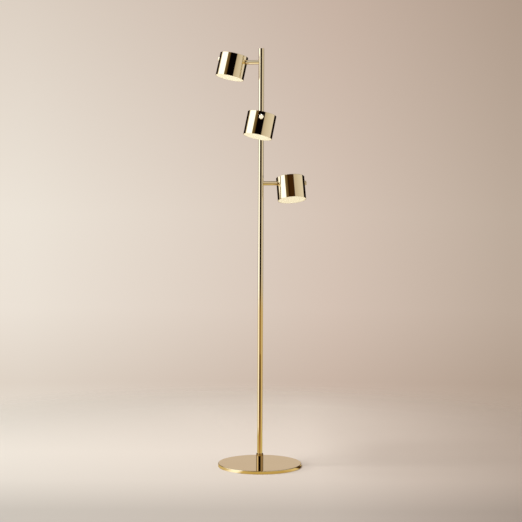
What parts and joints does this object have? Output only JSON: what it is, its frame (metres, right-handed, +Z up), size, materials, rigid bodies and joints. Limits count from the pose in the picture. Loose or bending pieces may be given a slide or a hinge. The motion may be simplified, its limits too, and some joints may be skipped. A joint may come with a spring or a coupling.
{
  "type": "tree floor lamp",
  "caption": "Polished brass floor lamp: slim pole on a thin round base, with short horizontal arms at different levels that carry tilting drum heads with opal light discs and dimmer knobs.",
  "frame": {"origin": "centre of the base disc on the floor", "axes": "+Z up along the pole; -Y towards the viewer of the picture, +X to their right"},
  "size_m": [0.3274, 0.322, 1.5],
  "materials": {
    "polished_brass": "polished",
    "turned_brass": "turned",
    "zinc_steel": "zinc plated",
    "cast_iron": "as cast, painted",
    "sink_aluminium": "machined",
    "black_rubber": "matte",
    "opal_diffuser": "satin opal, glows when lit",
    "switch_plastic": "moulded",
    "bearing_plastic": "moulded",
    "circuit_board": "white coating"
  },
  "bodies": {
    "stand": {"base_cover": "polished_brass", "base_weight": "cast_iron", "base_pad": "black_rubber", "cord_gland": "black_rubber", "base_nipple": "zinc_steel", "base_washer": "zinc_steel", "base_nut": "zinc_steel", "collar": "polished_brass", "collar_screw": "zinc_steel", "pole_lower": "polished_brass", "pole_middle": "polished_brass", "pole_upper": "polished_brass", "top_cap": "polished_brass", "pole_inserts": "turned_brass", "pole_nipples": "zinc_steel", "arm_blocks": "turned_brass", "arm_studs": "turned_brass", "arm_bushings": "bearing_plastic", "upper_arm": "polished_brass", "middle_arm": "polished_brass", "lower_arm": "polished_brass"},
    "upper_swivel": {"upper_knuckle": "polished_brass", "upper_pivot_screws": "zinc_steel"},
    "upper_head": {"upper_yoke": "zinc_steel", "upper_shell": "polished_brass", "upper_posts": "sink_aluminium", "upper_heat_sink": "sink_aluminium", "upper_tray_screws": "zinc_steel", "upper_led_board": "circuit_board", "upper_diffuser": "opal_diffuser", "upper_switch": "switch_plastic", "upper_ring_nut": "zinc_steel"},
    "upper_dial": {"upper_switch_shaft": "zinc_steel", "upper_knob": "polished_brass"},
    "middle_swivel": {"middle_knuckle": "polished_brass", "middle_pivot_screws": "zinc_steel"},
    "middle_head": {"middle_yoke": "zinc_steel", "middle_shell": "polished_brass", "middle_posts": "sink_aluminium", "middle_heat_sink": "sink_aluminium", "middle_tray_screws": "zinc_steel", "middle_led_board": "circuit_board", "middle_diffuser": "opal_diffuser", "middle_switch": "switch_plastic", "middle_ring_nut": "zinc_steel"},
    "middle_dial": {"middle_switch_shaft": "zinc_steel", "middle_knob": "polished_brass"},
    "lower_swivel": {"lower_knuckle": "polished_brass", "lower_pivot_screws": "zinc_steel"},
    "lower_head": {"lower_yoke": "zinc_steel", "lower_shell": "polished_brass", "lower_posts": "sink_aluminium", "lower_heat_sink": "sink_aluminium", "lower_tray_screws": "zinc_steel", "lower_led_board": "circuit_board", "lower_diffuser": "opal_diffuser", "lower_switch": "switch_plastic", "lower_ring_nut": "zinc_steel"},
    "lower_dial": {"lower_switch_shaft": "zinc_steel", "lower_knob": "polished_brass"}
  },
  "joints": [
    {"name": "upper_spin", "type": "hinge", "parent": "stand", "child": "upper_swivel", "pos_m": [-0.03696, 0.01531, 1.451], "axis": [-0.9239, 0.3827, 0], "range_deg": [-182.3, 157.7]},
    {"name": "upper_tilt", "type": "hinge", "parent": "upper_swivel", "child": "upper_head", "pos_m": [-0.06208, 0.02572, 1.451], "axis": [0.3739, 0.9027, -0.213], "range_deg": [-22.7, 7.3]},
    {"name": "upper_dim", "type": "hinge", "parent": "upper_head", "child": "upper_dial", "pos_m": [-0.14676, 0.06368, 1.46325], "axis": [-0.9046, 0.4056, 0.1309], "range_deg": [-270, 0]},
    {"name": "middle_spin", "type": "hinge", "parent": "stand", "child": "middle_swivel", "pos_m": [-0.0007, -0.03999, 1.2395], "axis": [-0.0175, -0.9998, 0], "range_deg": [-159, 181]},
    {"name": "middle_tilt", "type": "hinge", "parent": "middle_swivel", "child": "middle_head", "pos_m": [-0.00117, -0.06719, 1.2395], "axis": [-0.9815, 0.0171, 0.1908], "range_deg": [-25.8, 4.2]},
    {"name": "middle_dim", "type": "hinge", "parent": "middle_head", "child": "middle_dial", "pos_m": [0.00057, -0.15918, 1.25672], "axis": [0.0186, -0.9828, 0.1839], "range_deg": [-270, 0]},
    {"name": "lower_spin", "type": "hinge", "parent": "stand", "child": "lower_swivel", "pos_m": [0.03873, 0.01002, 1.0215], "axis": [0.9681, 0.2504, 0], "range_deg": [-152.9, 187.1]},
    {"name": "lower_tilt", "type": "hinge", "parent": "lower_swivel", "child": "lower_head", "pos_m": [0.06506, 0.01683, 1.0215], "axis": [0.2393, -0.9253, 0.294], "range_deg": [-15.5, 14.5]},
    {"name": "lower_dim", "type": "hinge", "parent": "lower_head", "child": "lower_dial", "pos_m": [0.15561, 0.04049, 1.02228], "axis": [0.9675, 0.2529, 0.0083], "range_deg": [-270, 0]}
  ]
}
